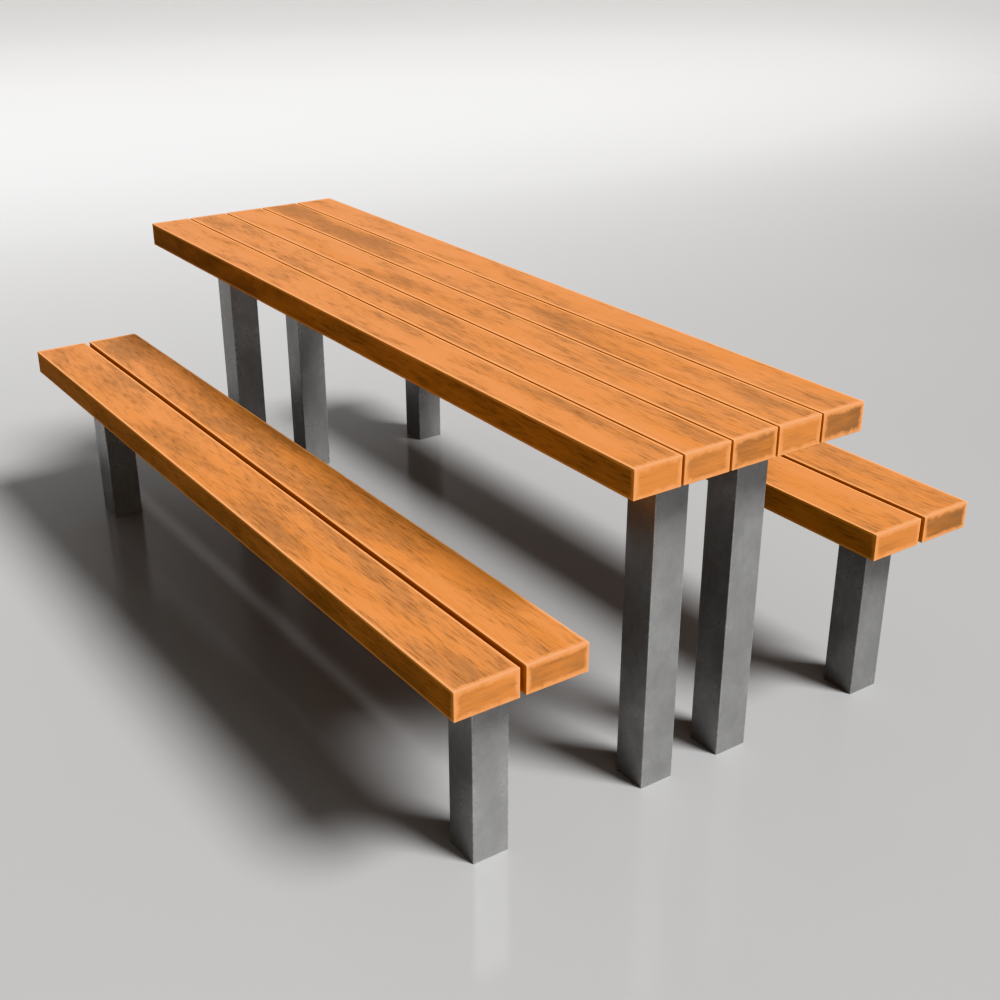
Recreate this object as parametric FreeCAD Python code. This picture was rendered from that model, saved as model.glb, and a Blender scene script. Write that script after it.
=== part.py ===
import FreeCAD
import Part

import math
import os
from collections import namedtuple

# Picnic table and two matching bench seats for outdoor use.
# Timber planks lie on flat steel bearers, which are welded on square hollow posts.
# Coach screws with washers hold the planks down from below, so no fixing shows from above.
# A flat strap ties the planks of each top together at mid span.
# A plate with a tapped anchor hole closes the foot of each post.
#
# Frame: the origin is on the ground at the middle of the set, +X runs along the planks to
# the right, +Y runs across the table to the rear, and +Z is up. All lengths are millimetres.

# Table top
TABLE_LENGTH = 2100.0
TABLE_HEIGHT = 770.0
TABLE_PLANK_COUNT = 5
TABLE_PLANK_WIDTH = 108.5
TABLE_PLANK_GAP = 5.0

# Bench seats
BENCH_LENGTH = 2100.0
SEAT_HEIGHT = 465.0
BENCH_PLANK_COUNT = 2
BENCH_PLANK_WIDTH = 135.0
BENCH_PLANK_GAP = 12.0
BENCH_CENTRE_OFFSET = 507.0

# Timber
PLANK_THICKNESS = 60.0
PLANK_ARRIS_RADIUS = 2.5

# Posts: square hollow section, a pair at each end of the table and one at each end of a bench
POST_SIDE = 80.0
POST_WALL = 4.0
POST_CORNER_RADIUS = 2.0
POST_END_SETBACK = 138.5
POST_PAIR_SPACING = 203.0

# Bearers: flat bar across the post heads, with a vent hole over each post's bore
BEARER_THICKNESS = 10.0
BEARER_CORNER_RADIUS = 8.0
VENT_DIAMETER = 12.0
VENT_OFFSET = 18.0

# Mid-span straps: flat bar
STRAP_WIDTH = 40.0
STRAP_THICKNESS = 6.0
STRAP_CORNER_RADIUS = 5.0

# Fillet welds under the bearers
WELD_LEG = 5.0

# Foot plates: the anchor bore is the tapping size of the anchor stud's thread
FOOT_PLATE_THICKNESS = 12.0
FOOT_PLATE_CLEARANCE = 0.3
ANCHOR_BORE_DIAMETER = 14.0

# Coach screws: the post and edge distances place them in the bearers and straps
SCREW_POST_DISTANCE = 25.0
SCREW_EDGE_DISTANCE = 25.0
SCREW_DIAMETER = 10.0
SCREW_TIP_LENGTH = 8.0
SCREW_TIP_DIAMETER = 2.0
SCREW_TIMBER_COVER = 22.0
SCREW_HEAD_ACROSS_FLATS = 17.0
SCREW_HEAD_HEIGHT = 7.0
SCREW_HEAD_CHAMFER = 1.5
SCREW_HOLE_CLEARANCE = 0.5
PILOT_CLEARANCE = 0.1
PILOT_OVERDRILL = 2.0

# Washers
WASHER_DIAMETER = 20.0
WASHER_THICKNESS = 2.0
WASHER_BORE_CLEARANCE = 0.25

# How far a cutting tool runs past the face that it opens
CUT_OVERRUN = 1.0

# Sizes that follow from the ones above
POST_BORE_SIDE = POST_SIDE - 2 * POST_WALL
BEARER_SCREW_OFFSET = POST_SIDE / 2 + SCREW_POST_DISTANCE
BEARER_WIDTH = 2 * (BEARER_SCREW_OFFSET + SCREW_EDGE_DISTANCE)
SCREW_LENGTH = WASHER_THICKNESS + BEARER_THICKNESS + PLANK_THICKNESS - SCREW_TIMBER_COVER

HEAD_SIDES = 6
BOTH_WAYS = (-1, 1)
UP = FreeCAD.Vector(0, 0, 1)

# A table or a bench. post_rows gives each row of posts a name and a place from the centre line.
Unit = namedtuple("Unit", "name length height plank_count plank_width plank_gap centre_y post_rows")


def plank_lines(unit):
    """The centre line of each plank, from front to rear."""
    pitch = unit.plank_width + unit.plank_gap
    first = unit.centre_y - pitch * (unit.plank_count - 1) / 2
    return [first + pitch * number for number in range(unit.plank_count)]


def ends(unit):
    """The place along the planks of the posts at each end."""
    post_x = unit.length / 2 - POST_END_SETBACK
    return {"left": -post_x, "right": post_x}


def underside(unit):
    """The level of the underside of the planks."""
    return unit.height - PLANK_THICKNESS


def post_top(unit):
    """The level of the post heads."""
    return underside(unit) - BEARER_THICKNESS


def flat_length(unit):
    """The length of a bearer or strap, which runs past the outer screws by the edge distance."""
    lines = plank_lines(unit)
    return lines[-1] - lines[0] + 2 * SCREW_EDGE_DISTANCE


def screw_seats(unit):
    """The place along the planks and the seat level of each row of screws."""
    bearer_seat = post_top(unit) - WASHER_THICKNESS
    strap_seat = underside(unit) - STRAP_THICKNESS - WASHER_THICKNESS
    bearer_rows = [x + way * BEARER_SCREW_OFFSET for x in ends(unit).values() for way in BOTH_WAYS]
    return [(x, bearer_seat) for x in bearer_rows] + [(0, strap_seat)]


def centred_box(x, y, bottom, length, width, height):
    """A box centred on (x, y) that stands on the level called bottom."""
    corner = FreeCAD.Vector(x - length / 2, y - width / 2, bottom)
    return Part.makeBox(length, width, height, corner)


def rounded_block(x, y, bottom, length, width, height, radius):
    """A box whose upright corners are rounded."""
    block = centred_box(x, y, bottom, length, width, height)
    upright = [edge for edge in block.Edges if edge.BoundBox.ZLength > height / 2]
    return block.makeFillet(radius, upright)


def rod(x, y, bottom, top, diameter):
    """An upright cylinder between two levels."""
    return Part.makeCylinder(diameter / 2, top - bottom, FreeCAD.Vector(x, y, bottom), UP)


def moved(shape, x, y, z):
    """A copy of a shape, moved from the origin to a point."""
    copy = shape.copy()
    copy.translate(FreeCAD.Vector(x, y, z))
    return copy


def plank(unit, y):
    """A timber plank with eased edges and a pilot hole above each of its screws."""
    bottom = underside(unit)
    block = centred_box(0, y, bottom, unit.length, unit.plank_width, PLANK_THICKNESS)
    board = block.makeFillet(PLANK_ARRIS_RADIUS, block.Edges)
    diameter = SCREW_DIAMETER + 2 * PILOT_CLEARANCE
    depth = SCREW_LENGTH + PILOT_OVERDRILL
    pilots = [rod(x, y, bottom - CUT_OVERRUN, seat + depth, diameter) for x, seat in screw_seats(unit)]
    return board.cut(pilots)


def drilled_flat(flat, screw_places, vent_places):
    """A flat bar, drilled through for its screws and its vents."""
    bottom = flat.BoundBox.ZMin - CUT_OVERRUN
    top = flat.BoundBox.ZMax + CUT_OVERRUN
    screw_hole = SCREW_DIAMETER + 2 * SCREW_HOLE_CLEARANCE
    screw_drills = [rod(x, y, bottom, top, screw_hole) for x, y in screw_places]
    vent_drills = [rod(x, y, bottom, top, VENT_DIAMETER) for x, y in vent_places]
    return flat.cut(screw_drills + vent_drills)


def bearer(unit, x):
    """The bearer on the post heads at one end, with two screws for each plank."""
    flat = rounded_block(
        x,
        unit.centre_y,
        post_top(unit),
        BEARER_WIDTH,
        flat_length(unit),
        BEARER_THICKNESS,
        BEARER_CORNER_RADIUS,
    )
    screw_places = [(x + way * BEARER_SCREW_OFFSET, y) for way in BOTH_WAYS for y in plank_lines(unit)]
    vent_places = [(x + VENT_OFFSET, unit.centre_y + row_y) for row_y in unit.post_rows.values()]
    return drilled_flat(flat, screw_places, vent_places)


def mid_strap(unit):
    """The strap across the planks at mid span, with one screw for each plank."""
    flat = rounded_block(
        0,
        unit.centre_y,
        underside(unit) - STRAP_THICKNESS,
        STRAP_WIDTH,
        flat_length(unit),
        STRAP_THICKNESS,
        STRAP_CORNER_RADIUS,
    )
    return drilled_flat(flat, [(0, y) for y in plank_lines(unit)], [])


def post(unit, x, y):
    """A square hollow post that stands on the ground."""
    top = post_top(unit)
    outside = rounded_block(x, y, 0, POST_SIDE, POST_SIDE, top, POST_CORNER_RADIUS)
    bore_height = top + 2 * CUT_OVERRUN
    bore = centred_box(x, y, -CUT_OVERRUN, POST_BORE_SIDE, POST_BORE_SIDE, bore_height)
    return outside.cut(bore)


def foot_plate(x, y):
    """The plate inside a post's foot, flush with the ground, with its anchor hole."""
    side = POST_BORE_SIDE - 2 * FOOT_PLATE_CLEARANCE
    plate = centred_box(x, y, 0, side, side, FOOT_PLATE_THICKNESS)
    return plate.cut(rod(x, y, -CUT_OVERRUN, FOOT_PLATE_THICKNESS + CUT_OVERRUN, ANCHOR_BORE_DIAMETER))


def rounded_square(x, y, z, side, radius):
    """The outline of a square with rounded corners, at one level."""
    block = rounded_block(x, y, z - WELD_LEG, side, side, 2 * WELD_LEG, radius)
    return block.slice(UP, z)[0]


def weld_bead(x, y, top):
    """A fillet weld round a post's head, against the underside of its bearer."""
    toe = rounded_square(x, y, top - WELD_LEG, POST_SIDE, POST_CORNER_RADIUS)
    brim = rounded_square(x, y, top, POST_SIDE + 2 * WELD_LEG, POST_CORNER_RADIUS + WELD_LEG)
    flared = Part.makeLoft([toe, brim], True, True)
    core = rounded_block(x, y, 0, POST_SIDE, POST_SIDE, top + CUT_OVERRUN, POST_CORNER_RADIUS)
    return flared.cut(core)


def screw_head():
    """A hexagon head below z = 0, with its free end chamfered to a circle."""
    corner_radius = SCREW_HEAD_ACROSS_FLATS / 2 / math.cos(math.pi / HEAD_SIDES)
    turns = [2 * math.pi * side / HEAD_SIDES for side in range(HEAD_SIDES + 1)]
    corners = [FreeCAD.Vector(math.cos(turn), math.sin(turn), 0) * corner_radius for turn in turns]
    end = UP * -SCREW_HEAD_HEIGHT
    prism = Part.Face(Part.makePolygon(corners)).extrude(end)
    end_radius = corner_radius - SCREW_HEAD_CHAMFER
    cone = Part.makeCone(end_radius, end_radius + SCREW_HEAD_HEIGHT, SCREW_HEAD_HEIGHT, end, UP)
    return prism.common(cone)


def coach_screw():
    """A coach screw that points up, with the bearing face of its head at z = 0."""
    shank_length = SCREW_LENGTH - SCREW_TIP_LENGTH
    shank = rod(0, 0, 0, shank_length, SCREW_DIAMETER)
    tip_place = UP * shank_length
    tip = Part.makeCone(SCREW_DIAMETER / 2, SCREW_TIP_DIAMETER / 2, SCREW_TIP_LENGTH, tip_place, UP)
    return screw_head().fuse([shank, tip]).removeSplitter()


def washer():
    """A flat washer that stands on z = 0."""
    bore_diameter = SCREW_DIAMETER + 2 * WASHER_BORE_CLEARANCE
    disc = rod(0, 0, 0, WASHER_THICKNESS, WASHER_DIAMETER)
    return disc.cut(rod(0, 0, -CUT_OVERRUN, WASHER_THICKNESS + CUT_OVERRUN, bore_diameter))


def timber_nodes(unit):
    """The planks of one table or bench."""
    numbered_lines = enumerate(plank_lines(unit), start=1)
    return {f"{unit.name}_plank_{number}": [plank(unit, y)] for number, y in numbered_lines}


def steel_nodes(unit):
    """The bearers, strap, posts, foot plates and welds of one table or bench."""
    nodes = {f"{unit.name}_bearer_{end}": [bearer(unit, x)] for end, x in ends(unit).items()}
    nodes[f"{unit.name}_mid_strap"] = [mid_strap(unit)]
    welds = []
    for row, row_y in unit.post_rows.items():
        for end, x in ends(unit).items():
            y = unit.centre_y + row_y
            place = f"{row}_{end}" if row else end
            nodes[f"{unit.name}_post_{place}"] = [post(unit, x, y)]
            nodes[f"{unit.name}_foot_plate_{place}"] = [foot_plate(x, y)]
            welds.append(weld_bead(x, y, post_top(unit)))
    nodes[f"{unit.name}_weld_beads"] = welds
    return nodes


def fixing_nodes(unit):
    """The coach screws and washers of one table or bench."""
    points = [(x, y, seat) for x, seat in screw_seats(unit) for y in plank_lines(unit)]
    return {
        f"{unit.name}_coach_screws": [moved(coach_screw(), *point) for point in points],
        f"{unit.name}_washers": [moved(washer(), *point) for point in points],
    }


def all_units():
    """The table, and a bench in front of it and behind it."""
    half_spacing = POST_PAIR_SPACING / 2
    table_rows = {"front": -half_spacing, "rear": half_spacing}
    bench_rows = {"": 0}
    table_sizes = (TABLE_LENGTH, TABLE_HEIGHT, TABLE_PLANK_COUNT, TABLE_PLANK_WIDTH, TABLE_PLANK_GAP)
    bench_sizes = (BENCH_LENGTH, SEAT_HEIGHT, BENCH_PLANK_COUNT, BENCH_PLANK_WIDTH, BENCH_PLANK_GAP)
    return [
        Unit("table", *table_sizes, 0, table_rows),
        Unit("front_bench", *bench_sizes, -BENCH_CENTRE_OFFSET, bench_rows),
        Unit("rear_bench", *bench_sizes, BENCH_CENTRE_OFFSET, bench_rows),
    ]


def export(nodes):
    """Writes one STEP file for each node."""
    os.makedirs("parts", exist_ok=True)
    for node, solids in nodes.items():
        shape = solids[0] if len(solids) == 1 else Part.makeCompound(solids)
        shape.exportStep(f"parts/{node}.step")


for each_unit in all_units():
    export(timber_nodes(each_unit))
    export(steel_nodes(each_unit))
    export(fixing_nodes(each_unit))
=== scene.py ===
"""Looks of the picnic table set: worn timber planks on galvanised posts, in a plain studio.

Lengths are in metres, in the part's own frame: +X along the planks to the right, +Y to the rear
bench, +Z up, with the floor at zero.
"""

import math

import bmesh
import bpy
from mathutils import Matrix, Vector, noise


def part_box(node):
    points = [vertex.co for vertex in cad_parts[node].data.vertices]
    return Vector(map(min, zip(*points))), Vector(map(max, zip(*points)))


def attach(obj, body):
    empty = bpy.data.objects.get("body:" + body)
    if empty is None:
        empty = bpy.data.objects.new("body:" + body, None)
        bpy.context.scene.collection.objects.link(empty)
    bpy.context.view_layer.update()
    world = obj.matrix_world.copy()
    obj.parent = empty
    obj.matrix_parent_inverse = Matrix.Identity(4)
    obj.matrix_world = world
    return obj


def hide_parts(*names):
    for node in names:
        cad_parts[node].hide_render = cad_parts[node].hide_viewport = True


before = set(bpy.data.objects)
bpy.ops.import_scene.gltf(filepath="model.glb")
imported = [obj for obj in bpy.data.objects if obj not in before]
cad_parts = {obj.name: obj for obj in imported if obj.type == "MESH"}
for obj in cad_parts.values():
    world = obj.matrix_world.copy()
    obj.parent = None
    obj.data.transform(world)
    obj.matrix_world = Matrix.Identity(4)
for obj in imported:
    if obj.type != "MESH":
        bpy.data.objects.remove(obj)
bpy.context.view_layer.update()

# Camera, solved from the set's corners in the photograph
CAMERA_PLACE = (2.6702, -1.6821, 1.6980)
CAMERA_YAW = math.radians(145.18)
CAMERA_PITCH = math.radians(-24.80)
CAMERA_LENS = 50
CAMERA_SENSOR = 36

# Light: a soft key, and a sky with a pale rim, a dim middle and a brighter top. A wide weak fill lights
# the near end. The floor mirrors a glow low behind the set, which sinks to its sides.
KEY_AZIMUTH = math.radians(28)
KEY_ELEVATION = math.radians(52)
KEY_SPREAD = math.radians(20)
KEY_STRENGTH = 9.9
FILL_AZIMUTH = math.radians(5)
FILL_ELEVATION = math.radians(12)
FILL_CORE = math.radians(10)
FILL_EDGE = math.radians(60)
FILL_LEVEL = 1.0
SKY_COLOUR = (1, 0.955, 0.905, 1)
GLOW_COLOUR = (1, 1, 1, 1)
SKY_LOW_LEVEL = 0.05
SKY_HIGH_LEVEL = 0.56
RIM_LEVEL = 0.58
RIM_LOW = math.radians(2)
RIM_HIGH = math.radians(14)
GLOW_LEVEL = 2.9
GLOW_AZIMUTH = math.radians(184)
GLOW_WIDTH = math.radians(74)
GLOW_DROP = math.radians(2.6)
GLOW_LOW = math.radians(7.4)
GLOW_PEAK = math.radians(9.2)
GLOW_HIGH = math.radians(13.6)
GLOW_TAIL_LEVEL = 1.75
GLOW_TAIL_HIGH = math.radians(36)

# Floor
FLOOR_REACH = 60
FLOOR_ROUGHNESS = 0.14
FLOOR_GLOSS = 0.10
FLOOR_TONES = (0.190, 0.198)
FLOOR_WAVES = (0.7, 0.7, 0.7)
FLOOR_SEED = 3

# Noise: each thing has a seed, which moves its noise to another place. WAVES are in waves per metre, and
# LEVELS are the values of a noise between which its effect grows.
SEED_STEP = 0.83
SEED_SHIFT = (1, -1.7, 0.6)

# Plank shape
PLANK_STEP = 0.010
ARRIS_RADIUS = 0.0016
ARRIS_SPREAD = 0.45
ARRIS_WAVES = 9
ARRIS_NICK = 0.0022
NICK_WAVES = 28
NICK_START = 0.35
ARRIS_RIM = 0.004
RIM_SHARES = (0.12, 0.28, 0.45, 0.65, 1)
FACE_DIP = 0.0004
DIP_WAVES = (5, 22, 22)

# Grain, with waves along the grain and across it
BAND_WAVES = (1.6, 18, 18)
BAND_LEVELS = (0.40, 0.68)
FIBRE_WAVES = (11, 320, 320)
FIBRE_LEVELS = (0.48, 0.72)
FIBRE_GAIN = 0.18

# Smudges: veils with ragged rims, marks in them, and blotches on the sides. A push is how far a smudge
# share of 1 lifts a noise.
PATCH_WAVES = (3.4, 15, 15)
PATCH_PUSH = 0.34
STREAK_WAVES = (22, 240, 240)
END_STREAK_SHARE = 0.3
VEIL_RIM_LEVELS = (0.3, 0.7)
VEIL_RIM_SHIFT = (-0.08, 0.08)
VEIL_LEVELS = (0.47, 0.88)
VEIL_GAIN = 0.66
END_VEIL_GAIN = 0.84
DASH_LEVELS = (0.53, 0.65)
MARK_LEVELS = (0.46, 0.78)
MARK_GAIN = 0.54
BLOTCH_WAVES = (5, 15, 15)
BLOTCH_PUSH = 0.4
BLOTCH_LEVELS = (0.46, 0.96)
BLOTCH_GAIN = 0.80

# Worn edges of the planks
WEAR_WAVES = (60, 60, 60)
WEAR_RAGGED = 0.006
END_WEAR_WIDTH = 0.0135
END_WEAR_CORE = 0.001
END_WEAR_GAIN = 0.9
LONG_WEAR_WIDTH = 0.0070
LONG_WEAR_CORE = 0.0030
# Front and rear edge gains: real wear, with the front gain higher as painted highlight
LONG_WEAR_AND_HIGHLIGHT_GAINS = (0.62, 0.55)

# Timber colours and surface
TIMBER_ROUGHNESS = (0.50, 0.66)
TIMBER_GLOSS = 0.03
TIMBER_BUMP = 0.2
TIMBER_BUMP_DEPTH = 0.0005
ORANGE = (0.335, 0.128, 0.040, 1)
DEEP_ORANGE = (0.312, 0.114, 0.031, 1)
PALE_ORANGE = (0.480, 0.202, 0.074, 1)
PALE_EDGE = (0.570, 0.258, 0.098, 1)
# Painted bounce light on the plank sides inside the gaps
GAP_BOUNCE_ORANGE = (0.300, 0.086, 0.008, 1)
SMUDGE_BROWN = (0.116, 0.060, 0.032, 1)
STREAK_BROWN = (0.086, 0.034, 0.010, 1)

# How smudged each plank is at its left end, middle and right end, on its right end face, and on its
# sides at the left and right ends
SMUDGES = {
    "table_plank_1": (0.25, 0.35, 0.50, 0.10, 0.85, -0.40),
    "table_plank_2": (0.50, 0.45, 0.45, 0.42, 0.00, 0.00),
    "table_plank_3": (0.15, 0.40, 0.50, 0.80, 0.00, 0.00),
    "table_plank_4": (0.75, 0.60, 0.40, 0.15, 0.00, 0.00),
    "table_plank_5": (0.20, 0.30, 0.30, 1.00, 0.40, 0.40),
    "front_bench_plank_1": (0.40, 0.50, 0.60, 0.48, -0.10, 0.30),
    "front_bench_plank_2": (0.60, 0.60, 0.35, 0.66, 0.00, 0.00),
    "rear_bench_plank_1": (0.40, 0.50, 0.35, 0.08, 0.40, 0.10),
    "rear_bench_plank_2": (0.50, 0.40, 0.60, 0.52, 0.00, 0.00),
}

# Steel finish. Each unit has its own steel tone, lighter on the front bench and darker on the rear bench:
# painted light and painted shade
UNIT_TONES_PAINTED_LIGHT = {"front_bench": 0.230, "table": 0.214, "rear_bench": 0.190}
ZINC_TONE = 0.32
STEEL_BARE_SHARE = 0.58
STEEL_ROUGHNESS = (0.32, 0.26)
STEEL_ROUGHNESS_LEVELS = (0.25, 0.75)
STEEL_BUMP = 0.12
STEEL_BUMP_DEPTH = 0.0012
CLOUD_WAVES = (15, 15, 11)
CLOUD_LEVELS = (0.34, 0.68)
CLOUD_GAINS = (0.92, 1.08)
BLOOM_WAVES = (65, 65, 45)
BLOOM_LEVELS = (0.3, 0.7)
BLOOM_GAINS = (0.95, 1.05)
SWELL_WAVES = (24, 24, 14)
SPECKLE_WAVES = (150, 150, 110)
SPECKLE_LEVELS = (0.2, 0.8)
# Pale lines along the steel corners: painted highlight
CORNER_HIGHLIGHT_WIDTH = 0.0028
CORNER_HIGHLIGHT_GAIN = 1.45
CORNER_HIGHLIGHT_RAGGED = 0.0014

# Weld beads, with a section in shares of the leg, outwards and down
WELD_LEG = 0.005
WELD_SECTION_SHARES = ((0, 0), (1, 0), (0.76, 0.40), (0.40, 0.76), (0, 1))
WELD_CORNER_RADIUS = 0.002
WELD_STEP = 0.0009
WELD_RIPPLE_PITCH = 0.0036
WELD_RIPPLE_SHARE = 0.16
WELD_CORNER_STEPS = 6


class Nodes:
    """The node tree of a material or the world, with short ways to add nodes."""

    # The mix node lists the sockets of all its kinds together: two inputs and the output of each kind
    COLOUR_SOCKETS = (6, 7, 2)
    VECTOR_SOCKETS = (4, 5, 1)

    def __init__(self, owner, output, shader):
        owner.use_nodes = True
        self.tree = owner.node_tree
        self.tree.nodes.clear()
        self.shader = self.node(shader)
        self.feed(self.node(output).inputs["Surface"], self.shader.outputs[0])

    def node(self, kind, **settings):
        made = self.tree.nodes.new(kind)
        for key, value in settings.items():
            setattr(made, key, value)
        return made

    def feed(self, socket, value):
        """A socket takes another node's output or a plain value."""
        if isinstance(value, bpy.types.NodeSocket):
            self.tree.links.new(value, socket)
        else:
            socket.default_value = value

    def set(self, name, value):
        self.feed(self.shader.inputs[name], value)

    def made(self, kind, inputs, output=0, **settings):
        """A new node with its inputs filled in order, as one of its outputs."""
        node = self.node(kind, **settings)
        for socket, value in zip(node.inputs, inputs):
            self.feed(socket, value)
        return node.outputs[output]

    def math(self, operation, first, second=0.0):
        return self.made("ShaderNodeMath", (first, second), operation=operation)

    def vector(self, operation, first, second=(0, 0, 0)):
        return self.made("ShaderNodeVectorMath", (first, second), operation=operation)

    def dot(self, first, second):
        return self.made("ShaderNodeVectorMath", (first, second), output=1, operation="DOT_PRODUCT")

    def split(self, vector):
        node = self.node("ShaderNodeSeparateXYZ")
        self.feed(node.inputs[0], vector)
        return node.outputs

    def join(self, *parts):
        return self.made("ShaderNodeCombineXYZ", parts)

    def fade(self, value, start, end, low=0.0, high=1.0):
        """A smooth step from low at start to high at end."""
        inputs = (value, start, end, low, high)
        return self.made("ShaderNodeMapRange", inputs, interpolation_type="SMOOTHSTEP")

    def cloud(self, place, scale, seed, detail=2.0, roughness=0.5):
        """A noise from 0 to 1, with its own scale along each axis, in waves per metre."""
        shifted = self.vector("ADD", place, [seed * shift for shift in SEED_SHIFT])
        node = self.node("ShaderNodeTexNoise")
        self.feed(node.inputs["Vector"], self.vector("MULTIPLY", shifted, scale))
        node.inputs["Scale"].default_value = 1
        node.inputs["Detail"].default_value = detail
        node.inputs["Roughness"].default_value = roughness
        return node.outputs["Fac"]

    def blend(self, kind, sockets, share, first, second):
        first_input, second_input, output = sockets
        node = self.node("ShaderNodeMix", data_type=kind)
        self.feed(node.inputs["Factor"], share)
        self.feed(node.inputs[first_input], first)
        self.feed(node.inputs[second_input], second)
        return node.outputs[output]

    def mix(self, share, first, second):
        """A blend of two colours."""
        return self.blend("RGBA", self.COLOUR_SOCKETS, share, first, second)

    def choose(self, share, first, second):
        """A blend of two vectors."""
        return self.blend("VECTOR", self.VECTOR_SOCKETS, share, first, second)

    def bump(self, height, strength, depth):
        node = self.node("ShaderNodeBump")
        node.inputs["Strength"].default_value = strength
        node.inputs["Distance"].default_value = depth
        self.feed(node.inputs["Height"], height)
        self.set("Normal", node.outputs[0])


def new_material(name):
    material = bpy.data.materials.new(name)
    nodes = Nodes(material, "ShaderNodeOutputMaterial", "ShaderNodeBsdfPrincipled")
    return material, nodes, nodes.node("ShaderNodeTexCoord").outputs["Object"]


def timber(node, seed):
    """Oiled hardwood of one plank: grain, smudges along the grain, and pale worn edges."""
    low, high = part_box(node)
    half = (high - low) / 2
    left_share, middle_share, right_share, end_share, left_side_share, right_side_share = SMUDGES[node]
    material, nodes, place = new_material("timber_" + node)
    local = nodes.vector("SUBTRACT", place, (low + high) / 2)
    along, across, upward = nodes.split(local)
    inside = nodes.vector("SUBTRACT", half, nodes.vector("ABSOLUTE", local))
    end_reach, side_reach, top_reach = nodes.split(inside)
    long_reach = nodes.math("MINIMUM", side_reach, top_reach)
    on_end = nodes.math("LESS_THAN", end_reach, long_reach)
    on_side = nodes.math("LESS_THAN", side_reach, nodes.math("MINIMUM", end_reach, top_reach))
    flow = nodes.choose(on_end, local, nodes.join(across, upward, along))

    # Grain
    band = nodes.cloud(flow, BAND_WAVES, seed, detail=4, roughness=0.6)
    fibre = nodes.cloud(flow, FIBRE_WAVES, seed + 1, detail=3, roughness=0.6)
    colour = nodes.mix(nodes.fade(band, *BAND_LEVELS), ORANGE, DEEP_ORANGE)
    colour = nodes.mix(nodes.fade(fibre, *FIBRE_LEVELS, high=FIBRE_GAIN), colour, STREAK_BROWN)

    # Smudges: soft veils with ragged rims, short dark dashes in them, and broad blotches on the sides.
    # The ends have fuller and calmer veils, with few dashes.
    left_part = nodes.fade(along, -half.x, 0, low=left_share, high=middle_share)
    right_part = nodes.fade(along, 0, half.x, low=0, high=right_share - middle_share)
    share = nodes.math("ADD", left_part, right_part)
    share = nodes.math("ADD", share, nodes.math("MULTIPLY", on_end, end_share - right_share))
    patch = nodes.cloud(flow, PATCH_WAVES, seed + 2, detail=5, roughness=0.60)
    patch = nodes.math("ADD", patch, nodes.math("MULTIPLY", share, PATCH_PUSH))
    streak = nodes.cloud(flow, STREAK_WAVES, seed + 3, detail=4, roughness=0.62)
    dashes = nodes.fade(streak, *DASH_LEVELS)
    streak_gain = nodes.fade(on_end, 0, 1, low=1, high=END_STREAK_SHARE)
    ragged_rim = nodes.fade(streak, *VEIL_RIM_LEVELS, *VEIL_RIM_SHIFT)
    ragged_rim = nodes.math("MULTIPLY", ragged_rim, streak_gain)
    smudge = nodes.fade(nodes.math("ADD", patch, ragged_rim), *VEIL_LEVELS)
    veil_gain = nodes.fade(on_end, 0, 1, low=VEIL_GAIN, high=END_VEIL_GAIN)
    colour = nodes.mix(nodes.math("MULTIPLY", smudge, veil_gain), colour, SMUDGE_BROWN)
    marks = nodes.math("MULTIPLY", nodes.fade(patch, *MARK_LEVELS), dashes)
    mark_gain = nodes.math("MULTIPLY", streak_gain, MARK_GAIN)
    colour = nodes.mix(nodes.math("MULTIPLY", marks, mark_gain), colour, STREAK_BROWN)
    blotch = nodes.cloud(flow, BLOTCH_WAVES, seed + 5, detail=4, roughness=0.6)
    left_push = BLOTCH_PUSH * left_side_share
    right_push = BLOTCH_PUSH * right_side_share
    blotch = nodes.math("ADD", blotch, nodes.fade(along, -half.x, half.x, low=left_push, high=right_push))
    blotch = nodes.fade(blotch, *BLOTCH_LEVELS, high=BLOTCH_GAIN)
    colour = nodes.mix(nodes.math("MULTIPLY", blotch, on_side), colour, STREAK_BROWN)

    # Sides that face another plank get painted bounce light: a clean saturated orange that stands in for
    # light bounced inside the gap
    unit, number = node.rsplit("_", 1)
    front_gap_bounce = f"{unit}_{int(number) - 1}" in SMUDGES
    rear_gap_bounce = f"{unit}_{int(number) + 1}" in SMUDGES
    gap_bounce_share = nodes.fade(across, -half.y, half.y, low=float(front_gap_bounce), high=float(rear_gap_bounce))
    colour = nodes.mix(nodes.math("MULTIPLY", gap_bounce_share, on_side), colour, GAP_BOUNCE_ORANGE)

    # Worn edges. The front edges are a little paler than the rear ones, which is painted highlight on top
    # of the wear
    ragged = nodes.cloud(local, WEAR_WAVES, seed + 4, detail=3, roughness=0.6)
    ragged = nodes.fade(ragged, 0, 1, low=-WEAR_RAGGED, high=WEAR_RAGGED)
    end_edge = nodes.math("ADD", nodes.math("MAXIMUM", end_reach, long_reach), ragged)
    long_edge = nodes.math("MAXIMUM", side_reach, top_reach)
    end_wear = nodes.fade(end_edge, END_WEAR_WIDTH, END_WEAR_CORE, high=END_WEAR_GAIN)
    colour = nodes.mix(end_wear, colour, PALE_ORANGE)
    # Paler front edges: painted highlight
    wear_and_highlight_gain = nodes.fade(across, -LONG_WEAR_WIDTH, LONG_WEAR_WIDTH, *LONG_WEAR_AND_HIGHLIGHT_GAINS)
    long_wear_and_highlight = nodes.math("MULTIPLY", nodes.fade(long_edge, LONG_WEAR_WIDTH, LONG_WEAR_CORE), wear_and_highlight_gain)
    colour = nodes.mix(long_wear_and_highlight, colour, PALE_EDGE)

    nodes.set("Base Color", colour)
    nodes.set("Roughness", nodes.fade(smudge, 0, 1, *TIMBER_ROUGHNESS))
    nodes.set("Specular IOR Level", TIMBER_GLOSS)
    nodes.bump(nodes.math("ADD", fibre, dashes), TIMBER_BUMP, TIMBER_BUMP_DEPTH)
    return material


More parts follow.
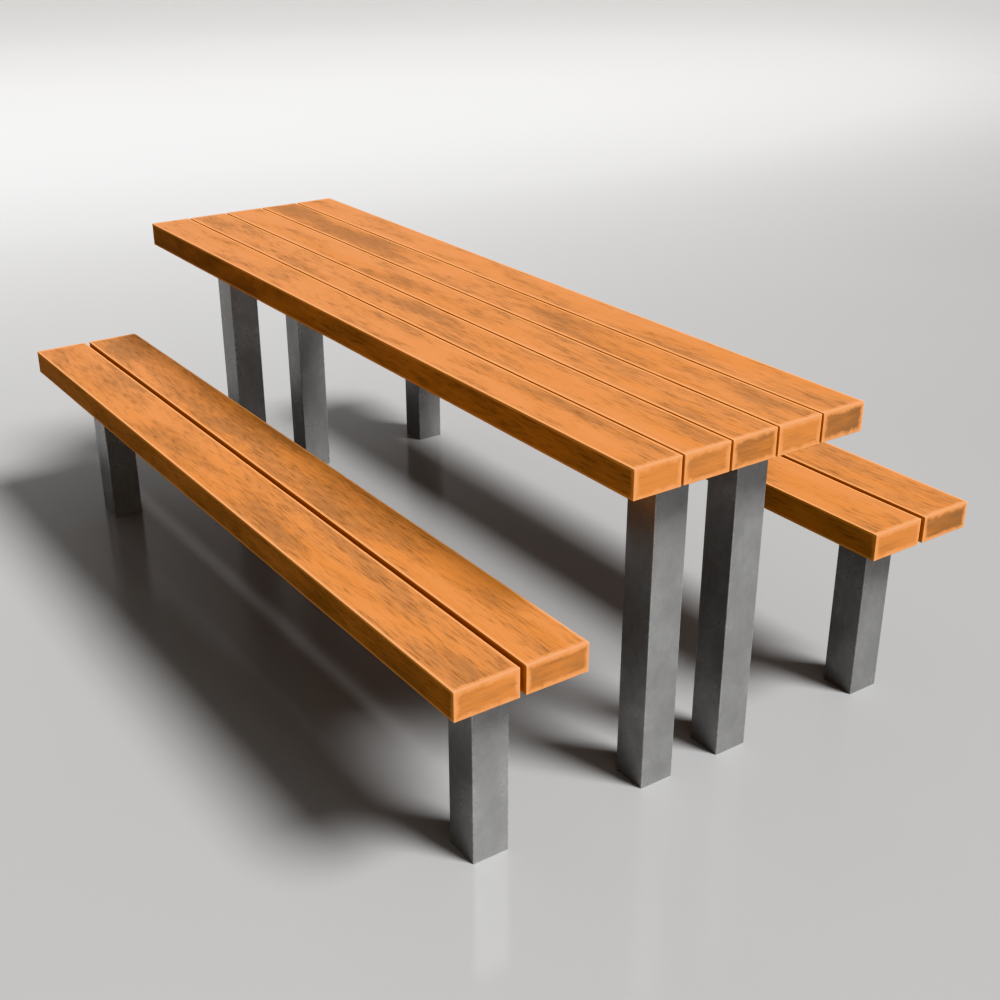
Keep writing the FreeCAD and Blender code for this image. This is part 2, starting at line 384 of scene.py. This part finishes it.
def galvanised(node, seed, tone):
    """Galvanised steel, partly dulled, with cloudy patches and painted highlight lines on the corners."""
    low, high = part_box(node)
    material, nodes, place = new_material("steel_" + node)
    cloud = nodes.cloud(place, CLOUD_WAVES, seed, detail=5, roughness=0.55)
    speckle = nodes.cloud(place, SPECKLE_WAVES, seed + 1, detail=2)
    swell = nodes.cloud(place, SWELL_WAVES, seed + 2, detail=1)
    bloom = nodes.cloud(place, BLOOM_WAVES, seed + 3, detail=4, roughness=0.6)
    dull_gain, bright_gain = CLOUD_GAINS
    shade = nodes.fade(cloud, *CLOUD_LEVELS, low=dull_gain * tone, high=bright_gain * tone)
    shade = nodes.math("MULTIPLY", shade, nodes.fade(bloom, *BLOOM_LEVELS, *BLOOM_GAINS))
    from_middle = nodes.vector("ABSOLUTE", nodes.vector("SUBTRACT", place, (low + high) / 2))
    side_reach, front_reach = nodes.split(nodes.vector("SUBTRACT", (high - low) / 2, from_middle))[:2]
    # A pale line along each corner: painted highlight
    corner = nodes.math("ADD", nodes.math("MAXIMUM", side_reach, front_reach),
                        nodes.fade(speckle, *SPECKLE_LEVELS, low=-CORNER_HIGHLIGHT_RAGGED, high=CORNER_HIGHLIGHT_RAGGED))
    corner_highlight = nodes.fade(corner, CORNER_HIGHLIGHT_WIDTH, 0, low=1, high=CORNER_HIGHLIGHT_GAIN)
    shade = nodes.math("MULTIPLY", shade, corner_highlight)
    nodes.set("Base Color", nodes.join(shade, shade, shade))
    nodes.set("Metallic", STEEL_BARE_SHARE)
    nodes.set("Roughness", nodes.fade(cloud, *STEEL_ROUGHNESS_LEVELS, *STEEL_ROUGHNESS))
    nodes.bump(swell, STEEL_BUMP, STEEL_BUMP_DEPTH)
    return material


def add_piece(name, mesh, material, slot, *nodes):
    """A finished mesh in the scene, on the set's one body, instead of its CAD nodes."""
    for face in mesh.faces:
        face.smooth = True
    data = bpy.data.meshes.new(name)
    mesh.to_mesh(data)
    mesh.free()
    data.materials.append(material)
    piece = bpy.data.objects.new(name, data)
    bpy.context.scene.collection.objects.link(piece)
    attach(piece, "root")
    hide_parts(*nodes)


def worn_place(place, low, high, seed):
    """A point of a sharp box, moved inwards on to the worn and rounded plank."""
    drift = noise.noise(place * ARRIS_WAVES + Vector((seed, 0, 0)))
    nick = max(0, noise.noise(place * NICK_WAVES + Vector((0, seed, 0))) - NICK_START)
    radius = ARRIS_RADIUS * (1 + ARRIS_SPREAD * drift) + ARRIS_NICK * nick
    inner = Vector([min(max(place[axis], low[axis] + radius), high[axis] - radius) for axis in range(3)])
    outward = (place - inner).normalized()
    along, across, upward = DIP_WAVES
    dip_place = Vector((place.x * along, place.y * across, place.z * upward + seed))
    dip = FACE_DIP * (0.5 + 0.5 * noise.noise(dip_place))
    return inner + outward * (radius - dip)


def cuts(start, end):
    """Places of the dividing lines along one side: close together at its rims, evenly spaced between."""
    inside = end - start - 2 * ARRIS_RIM
    count = max(1, round(inside / PLANK_STEP))
    rim = [ARRIS_RIM * share for share in RIM_SHARES]
    middle = [ARRIS_RIM + inside * number / count for number in range(1, count)]
    return [start + place for place in rim + middle] + [end - place for place in rim]


def add_plank(node, seed):
    low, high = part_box(node)
    mesh = bmesh.new()
    bmesh.ops.create_cube(mesh, size=1)
    for vertex in mesh.verts:
        vertex.co = Vector([high[axis] if vertex.co[axis] > 0 else low[axis] for axis in range(3)])
    for axis in range(3):
        direction = Vector([1 if number == axis else 0 for number in range(3)])
        for place in cuts(low[axis], high[axis]):
            geometry = mesh.verts[:] + mesh.edges[:] + mesh.faces[:]
            bmesh.ops.bisect_plane(mesh, geom=geometry, plane_co=direction * place, plane_no=direction)
    for vertex in mesh.verts:
        vertex.co = worn_place(vertex.co, low, high, seed)
    add_piece("worn_" + node, mesh, timber(node, seed), "timber", node)


def weld_line(post):
    """Points round the top of a post, each with the direction outwards from the post."""
    low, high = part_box(post)
    centre = (low + high) / 2
    reach = (high.x - low.x) / 2 - WELD_CORNER_RADIUS
    run_steps = round(2 * reach / WELD_STEP)
    line = []
    for corner in range(4):
        turn = math.pi / 2 * corner
        across = Vector((math.cos(turn), math.sin(turn), 0))
        onward = Vector((-math.sin(turn), math.cos(turn), 0))
        root = Vector((centre.x, centre.y, high.z)) + across * reach
        for step in range(run_steps):
            place = root + onward * reach * (2 * step / run_steps - 1) + across * WELD_CORNER_RADIUS
            line.append((place, across))
        for step in range(WELD_CORNER_STEPS):
            angle = math.pi / 2 * step / WELD_CORNER_STEPS
            outward = across * math.cos(angle) + onward * math.sin(angle)
            line.append((root + onward * reach + outward * WELD_CORNER_RADIUS, outward))
    return line


def add_weld_beads(node, posts, seed, tone):
    """Rippled fillet welds between the posts and the bearers over them."""
    mesh = bmesh.new()
    for post in posts:
        rings = []
        for number, (place, outward) in enumerate(weld_line(post)):
            phase = number * WELD_STEP / WELD_RIPPLE_PITCH % 1
            leg = WELD_LEG * (1 - WELD_RIPPLE_SHARE * phase)
            rings.append([mesh.verts.new(place + outward * leg * out - Vector((0, 0, leg * down)))
                          for out, down in WELD_SECTION_SHARES])
        for ring, after in zip(rings, rings[1:] + rings[:1]):
            for first in range(len(ring)):
                second = (first + 1) % len(ring)
                mesh.faces.new((ring[first], ring[second], after[second], after[first]))
    bmesh.ops.recalc_face_normals(mesh, faces=mesh.faces[:])
    add_piece("rippled_" + node, mesh, galvanised(node, seed, tone), "bearer_steel", node)


def dress_cad_node(node, material):
    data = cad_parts[node].data
    data.materials.clear()
    data.materials.append(material)


def facing(azimuth, elevation):
    """The direction at an angle from +X toward +Y, and at an angle above the floor."""
    flat = math.cos(elevation)
    return Vector((flat * math.cos(azimuth), flat * math.sin(azimuth), math.sin(elevation)))


def add_camera():
    data = bpy.data.cameras.new("camera")
    data.lens = CAMERA_LENS
    data.sensor_width = CAMERA_SENSOR
    data.clip_end = 2 * FLOOR_REACH
    camera = bpy.data.objects.new("camera", data)
    camera.location = CAMERA_PLACE
    camera.rotation_euler = facing(CAMERA_YAW, CAMERA_PITCH).to_track_quat("-Z", "Y").to_euler()
    bpy.context.scene.collection.objects.link(camera)
    bpy.context.scene.camera = camera


def add_key_light():
    data = bpy.data.lights.new("key", "SUN")
    data.energy = KEY_STRENGTH
    data.angle = KEY_SPREAD
    light = bpy.data.objects.new("key", data)
    light.rotation_euler = facing(KEY_AZIMUTH, KEY_ELEVATION).to_track_quat("Z", "Y").to_euler()
    bpy.context.scene.collection.objects.link(light)


def add_sky():
    world = bpy.data.worlds.new("studio")
    nodes = Nodes(world, "ShaderNodeOutputWorld", "ShaderNodeBackground")
    direction = nodes.node("ShaderNodeTexCoord").outputs["Generated"]
    height = nodes.split(direction)[2]
    glow_share = nodes.dot(direction, facing(GLOW_AZIMUTH, 0))
    side = nodes.fade(glow_share, math.cos(GLOW_WIDTH), 1)
    drop = nodes.fade(glow_share, math.cos(GLOW_WIDTH), 1, low=math.sin(GLOW_DROP), high=0)
    tilted = nodes.math("ADD", height, drop)
    above = nodes.fade(tilted, math.sin(GLOW_LOW), math.sin(GLOW_PEAK))
    below = nodes.fade(tilted, math.sin(GLOW_HIGH), math.sin(GLOW_PEAK))
    core = nodes.math("MULTIPLY", nodes.math("MULTIPLY", above, below), GLOW_LEVEL)
    tail = nodes.fade(tilted, math.sin(GLOW_TAIL_HIGH), math.sin(GLOW_PEAK), high=GLOW_TAIL_LEVEL)
    tail = nodes.math("MULTIPLY", above, tail)
    glow = nodes.math("MULTIPLY", nodes.math("ADD", core, tail), side)
    fill_share = nodes.dot(direction, facing(FILL_AZIMUTH, FILL_ELEVATION))
    fill = nodes.fade(fill_share, math.cos(FILL_EDGE), math.cos(FILL_CORE), high=FILL_LEVEL)
    sky = nodes.fade(height, 0, 1, low=SKY_LOW_LEVEL, high=SKY_HIGH_LEVEL)
    rim = nodes.fade(height, math.sin(RIM_HIGH), math.sin(RIM_LOW), high=RIM_LEVEL)
    total = nodes.math("ADD", nodes.math("ADD", glow, fill), nodes.math("ADD", sky, rim))
    nodes.set("Color", nodes.mix(nodes.math("DIVIDE", glow, total), SKY_COLOUR, GLOW_COLOUR))
    nodes.set("Strength", total)
    bpy.context.scene.world = world


def add_floor():
    data = bpy.data.meshes.new("floor")
    corners = [(-FLOOR_REACH, -FLOOR_REACH, 0), (FLOOR_REACH, -FLOOR_REACH, 0),
               (FLOOR_REACH, FLOOR_REACH, 0), (-FLOOR_REACH, FLOOR_REACH, 0)]
    data.from_pydata(corners, [], [(0, 1, 2, 3)])
    floor = bpy.data.objects.new("floor", data)
    bpy.context.scene.collection.objects.link(floor)
    material, nodes, place = new_material("floor")
    tone = nodes.fade(nodes.cloud(place, FLOOR_WAVES, FLOOR_SEED), 0, 1, *FLOOR_TONES)
    nodes.set("Base Color", nodes.join(tone, tone, tone))
    nodes.set("Roughness", FLOOR_ROUGHNESS)
    nodes.set("Specular IOR Level", FLOOR_GLOSS)
    data.materials.append(material)


# Planks
for number, plank_node in enumerate(SMUDGES):
    add_plank(plank_node, SEED_STEP * (number + 1))

# Steel
for number, steel_node in enumerate(sorted(set(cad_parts) - set(SMUDGES))):
    steel_seed = SEED_STEP * number
    # The unit's tone is painted light on the front bench and painted shade on the rear bench
    steel_tone = next(tone for unit, tone in UNIT_TONES_PAINTED_LIGHT.items() if steel_node.startswith(unit))
    if "weld_beads" in steel_node:
        post_name = steel_node.replace("weld_beads", "post_")
        posts = [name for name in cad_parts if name.startswith(post_name)]
        add_weld_beads(steel_node, posts, steel_seed, steel_tone)
    elif "screws" in steel_node or "washers" in steel_node:
        dress_cad_node(steel_node, galvanised(steel_node, steel_seed, ZINC_TONE))
    else:
        dress_cad_node(steel_node, galvanised(steel_node, steel_seed, steel_tone))

# Studio
add_camera()
add_key_light()
add_sky()
add_floor()
bpy.context.scene.view_settings.view_transform = "Khronos PBR Neutral"
bpy.context.scene.view_settings.look = "None"
